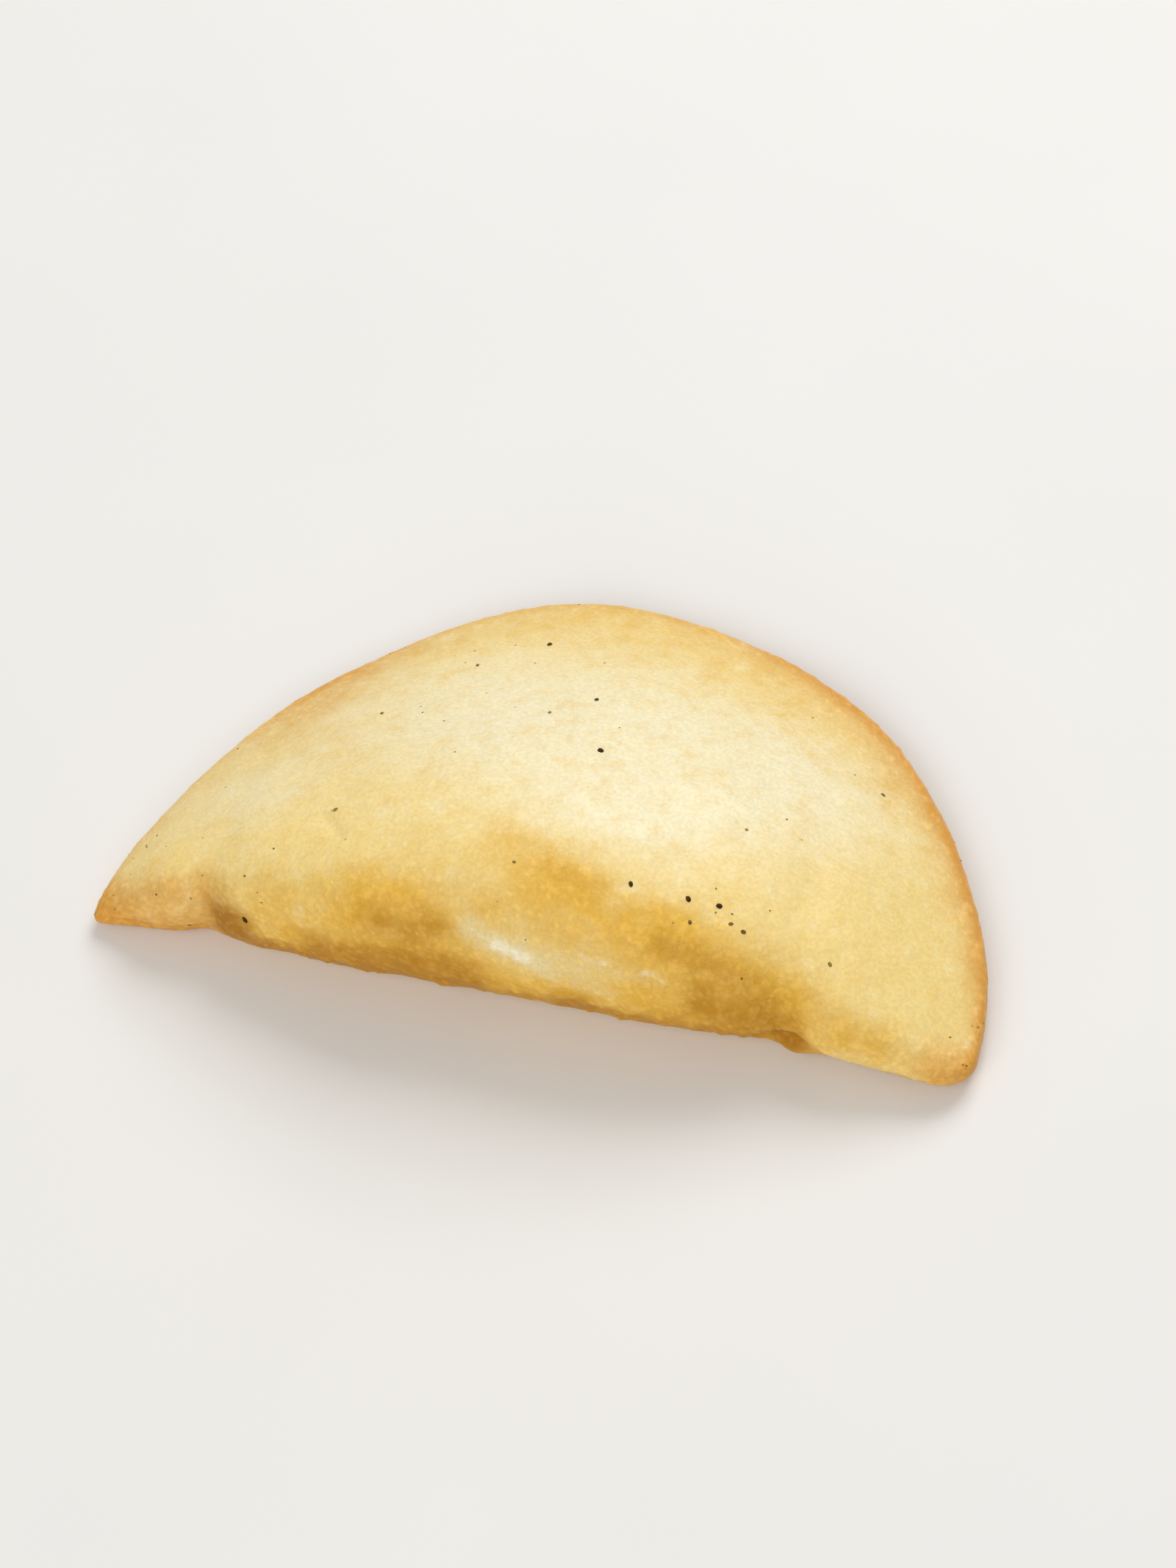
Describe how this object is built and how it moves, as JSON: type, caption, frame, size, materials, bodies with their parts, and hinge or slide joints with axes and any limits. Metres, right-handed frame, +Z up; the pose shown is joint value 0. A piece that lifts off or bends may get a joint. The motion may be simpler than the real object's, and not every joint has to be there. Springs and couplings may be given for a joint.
{
  "type": "empanada",
  "caption": "Whole fried half-moon empanada with a rounded fold, a smooth sealed rim and pinched ends, lying flat.",
  "frame": {"origin": "bottom centre of the bounding box, on the level that the pastry lies on", "axes": "+X from the pointed end to the blunt end, +Y from the fold towards the sealed rim, +Z up"},
  "size_m": [0.1126, 0.0624, 0.0242],
  "materials": {
    "crust": "fried wheat dough, pale cream to amber, with a soft uneven oily gloss"
  },
  "bodies": {
    "root": {"crust": "crust"}
  },
  "joints": []
}
